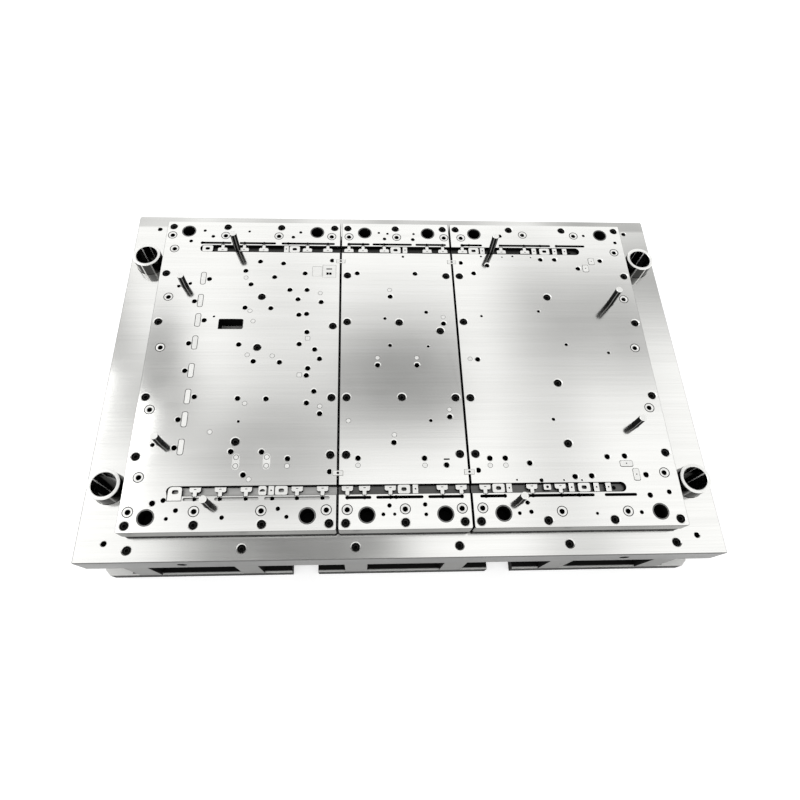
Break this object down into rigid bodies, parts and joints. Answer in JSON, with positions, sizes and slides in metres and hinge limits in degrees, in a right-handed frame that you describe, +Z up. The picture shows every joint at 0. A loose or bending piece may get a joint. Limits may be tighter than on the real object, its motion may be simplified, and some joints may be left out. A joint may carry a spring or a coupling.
{
  "type": "progressive stamping die",
  "caption": "Lower half of a progressive stamping die: ground die plates side by side on a shoe with guide bushes, strip keys, sprung lifter pins, parallels and a slotted clamp plate.",
  "frame": {"origin": "middle of the underside of the clamp plate, on the press bolster", "axes": "+X along the strip, left to right seen from the front; +Y from the front to the back; +Z up"},
  "size_m": [1.05, 0.695, 0.236],
  "materials": {
    "base_steel": "milled and ground tool steel",
    "shoe_steel": "surface-ground plate steel",
    "backing_steel": "hardened and ground, slightly darker",
    "plate_steel": "surface-ground tool steel with a bright grain along X",
    "bush_steel": "ground and honed bearing steel",
    "pin_steel": "ground hardened pin",
    "key_steel": "finely ground tool steel",
    "insert_steel": "finely ground tool steel",
    "spring_urethane": "satin polyurethane"
  },
  "bodies": {
    "base": {"clamp_plate": "base_steel", "parallel_1": "base_steel", "parallel_2": "base_steel", "parallel_3": "base_steel", "parallel_4": "base_steel", "parallel_5": "base_steel", "parallel_6": "base_steel", "die_shoe": "shoe_steel", "guide_bushes": "bush_steel", "backing_plate_left": "backing_steel", "die_plate_left": "plate_steel", "backing_plate_centre": "backing_steel", "die_plate_centre": "plate_steel", "backing_plate_right": "backing_steel", "die_plate_right": "plate_steel", "lifter_spring_1": "spring_urethane", "lifter_spring_2": "spring_urethane", "lifter_spring_3": "spring_urethane", "lifter_spring_4": "spring_urethane", "lifter_spring_5": "spring_urethane", "lifter_spring_6": "spring_urethane", "lifter_spring_7": "spring_urethane", "lifter_spring_8": "spring_urethane", "t_keys_front": "key_steel", "guide_blocks_front": "key_steel", "cross_bars_front": "key_steel", "t_keys_back": "key_steel", "guide_blocks_back": "key_steel", "cross_bars_back": "key_steel", "form_inserts": "insert_steel", "corner_inserts": "insert_steel", "slot_inserts": "insert_steel", "joint_clips": "insert_steel"},
    "lifter_1": {"lifter_pin_1": "pin_steel"},
    "lifter_2": {"lifter_pin_2": "pin_steel"},
    "lifter_3": {"lifter_pin_3": "pin_steel"},
    "lifter_4": {"lifter_pin_4": "pin_steel"},
    "lifter_5": {"lifter_pin_5": "pin_steel"},
    "lifter_6": {"lifter_pin_6": "pin_steel"},
    "lifter_7": {"lifter_pin_7": "pin_steel"},
    "lifter_8": {"lifter_pin_8": "pin_steel"}
  },
  "joints": [
    {"name": "lifter_1_slide", "type": "slide", "parent": "base", "child": "lifter_1", "axis": [0, 0, 1], "range_m": [-0.012, 0], "stiffness_N_per_m": 5000, "springref_m": 0.003, "deforming": ["lifter_spring_1"]},
    {"name": "lifter_2_slide", "type": "slide", "parent": "base", "child": "lifter_2", "axis": [0, 0, 1], "range_m": [-0.012, 0], "stiffness_N_per_m": 5000, "springref_m": 0.003, "deforming": ["lifter_spring_2"]},
    {"name": "lifter_3_slide", "type": "slide", "parent": "base", "child": "lifter_3", "axis": [0, 0, 1], "range_m": [-0.012, 0], "stiffness_N_per_m": 5000, "springref_m": 0.003, "deforming": ["lifter_spring_3"]},
    {"name": "lifter_4_slide", "type": "slide", "parent": "base", "child": "lifter_4", "axis": [0, 0, 1], "range_m": [-0.012, 0], "stiffness_N_per_m": 5000, "springref_m": 0.003, "deforming": ["lifter_spring_4"]},
    {"name": "lifter_5_slide", "type": "slide", "parent": "base", "child": "lifter_5", "axis": [0, 0, 1], "range_m": [-0.012, 0], "stiffness_N_per_m": 5000, "springref_m": 0.003, "deforming": ["lifter_spring_5"]},
    {"name": "lifter_6_slide", "type": "slide", "parent": "base", "child": "lifter_6", "axis": [0, 0, 1], "range_m": [-0.012, 0], "stiffness_N_per_m": 5000, "springref_m": 0.003, "deforming": ["lifter_spring_6"]},
    {"name": "lifter_7_slide", "type": "slide", "parent": "base", "child": "lifter_7", "axis": [0, 0, 1], "range_m": [-0.012, 0], "stiffness_N_per_m": 5000, "springref_m": 0.003, "deforming": ["lifter_spring_7"]},
    {"name": "lifter_8_slide", "type": "slide", "parent": "base", "child": "lifter_8", "axis": [0, 0, 1], "range_m": [-0.012, 0], "stiffness_N_per_m": 5000, "springref_m": 0.003, "deforming": ["lifter_spring_8"]}
  ]
}
